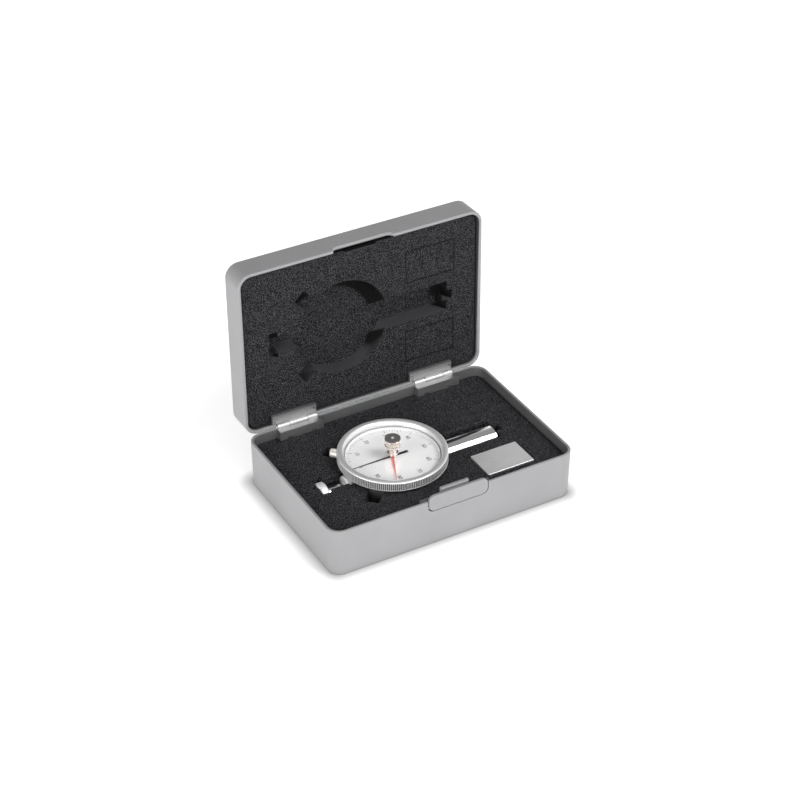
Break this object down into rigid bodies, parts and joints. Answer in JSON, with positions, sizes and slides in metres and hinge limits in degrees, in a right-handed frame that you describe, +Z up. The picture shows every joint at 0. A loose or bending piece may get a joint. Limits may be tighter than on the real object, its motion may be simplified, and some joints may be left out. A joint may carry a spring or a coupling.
{
  "type": "cased dial hardness gauge",
  "caption": "Pocket dial gauge with a sprung indenter, pressing foot and drag hand, lying with a check block in a hinged, foam-lined storage box.",
  "frame": {"origin": "centre of the box's underside", "axes": "+X along the box towards the gauge's handle tube, +Y towards the hinges, +Z up out of the base"},
  "size_m": [0.15, 0.1182, 0.1296],
  "materials": {
    "box_plastic": "satin",
    "foam": "matte",
    "hinge_metal": "satin",
    "chrome": "polished",
    "nickel": "polished",
    "steel": "satin",
    "cast_metal": "satin",
    "dial_enamel": "satin",
    "white_plastic": "gloss",
    "black_lacquer": "satin",
    "red_lacquer": "satin",
    "dark_cap": "satin",
    "brass": "satin",
    "clear_glass": "polished"
  },
  "bodies": {
    "case": {"case_base": "box_plastic", "base_foam": "foam", "hinge_base_leaf_left": "hinge_metal", "hinge_base_leaf_right": "hinge_metal", "hinge_pin_left": "steel", "hinge_pin_right": "steel", "latch_pin": "steel"},
    "lid": {"case_lid": "box_plastic", "lid_foam": "foam", "hinge_lid_leaf_left": "hinge_metal", "hinge_lid_leaf_right": "hinge_metal"},
    "latch": {"latch": "box_plastic"},
    "check_block": {"check_block": "steel"},
    "gauge": {"housing": "cast_metal", "back_cover": "cast_metal", "back_cover_screws": "steel", "handle_tube": "chrome", "tube_cap": "chrome", "neck_tube": "chrome", "neck_collar": "chrome", "presser_foot": "chrome", "front_bush": "brass", "rear_bush": "brass", "main_spring": "steel", "movement_base_plate": "brass", "movement_pillars": "brass", "movement_top_plate": "brass", "plate_screws": "steel", "bridge_posts": "brass", "centre_bridge": "brass", "snap_ring": "steel"},
    "plunger": {"plunger": "steel", "indenter": "steel"},
    "rack_arbor": {"rack_pinion": "steel", "rack_gear": "brass"},
    "pointer": {"centre_pinion": "steel", "main_pointer": "black_lacquer"},
    "hairspring_arbor": {"hairspring_arbor": "steel", "hairspring_gear": "brass", "hairspring": "steel"},
    "bezel": {"bezel": "chrome", "dial_plate": "dial_enamel", "crystal_ring": "white_plastic", "crystal": "clear_glass", "knob_bushing": "nickel"},
    "drag_hand": {"drag_spindle": "steel", "drag_hand": "red_lacquer", "reset_knob": "nickel", "knob_cap": "dark_cap", "knob_washer": "steel"},
    "clamp_screw": {"clamp_screw": "nickel"}
  },
  "joints": [
    {"name": "lid_hinge", "type": "hinge", "parent": "case", "child": "lid", "pos_m": [0, 0.05014, 0.029], "axis": [-1, 0, 0], "range_deg": [-90.9, 0]},
    {"name": "latch_press", "type": "hinge", "parent": "case", "child": "latch", "pos_m": [0, -0.0487, 0.0239], "axis": [-1, 0, 0], "range_deg": [0, 4], "stiffness_Nm_per_rad": 0.5},
    {"name": "gauge_lift", "type": "slide", "parent": "case", "child": "gauge", "axis": [0, 0, 1], "range_m": [0, 0.045]},
    {"name": "block_lift", "type": "slide", "parent": "case", "child": "check_block", "axis": [0, 0, 1], "range_m": [0, 0.02]},
    {"name": "indenter_press", "type": "slide", "parent": "gauge", "child": "plunger", "axis": [1, 0, 0], "range_m": [0, 0.0025], "stiffness_N_per_m": 3000, "springref_m": -0.00018, "deforming": ["main_spring"]},
    {"name": "rack_arbor_turn", "type": "hinge", "parent": "gauge", "child": "rack_arbor", "pos_m": [-0.00263, 0.00189, 0.016], "axis": [0, 0, 1], "range_deg": [0, 60.1]},
    {"name": "pointer_turn", "type": "hinge", "parent": "gauge", "child": "pointer", "pos_m": [-0.0123, -0.0022, 0.02], "axis": [0, 0, -1], "range_deg": [0, 360]},
    {"name": "hairspring_arbor_turn", "type": "hinge", "parent": "gauge", "child": "hairspring_arbor", "pos_m": [-0.02197, -0.00629, 0.016], "axis": [0, 0, 1], "range_deg": [0, 60.1], "deforming": ["hairspring"]},
    {"name": "bezel_turn", "type": "hinge", "parent": "gauge", "child": "bezel", "pos_m": [-0.0123, -0.0022, 0.0275], "axis": [0, 0, 1], "continuous": true},
    {"name": "drag_hand_turn", "type": "hinge", "parent": "bezel", "child": "drag_hand", "pos_m": [-0.0123, -0.0022, 0.03], "axis": [0, 0, -1], "range_deg": [-287, 62]},
    {"name": "clamp_screw_turn", "type": "hinge", "parent": "gauge", "child": "clamp_screw", "pos_m": [-0.03252, 0.01802, 0.022], "axis": [-0.7071, 0.7071, 0], "range_deg": [0, 270]}
  ],
  "couplings": [
    {"joint": "rack_arbor_turn", "follows": "indenter_press", "rad_per_m": 418.88},
    {"joint": "pointer_turn", "follows": "indenter_press", "rad_per_m": 2513.3},
    {"joint": "hairspring_arbor_turn", "follows": "indenter_press", "rad_per_m": 418.88}
  ]
}
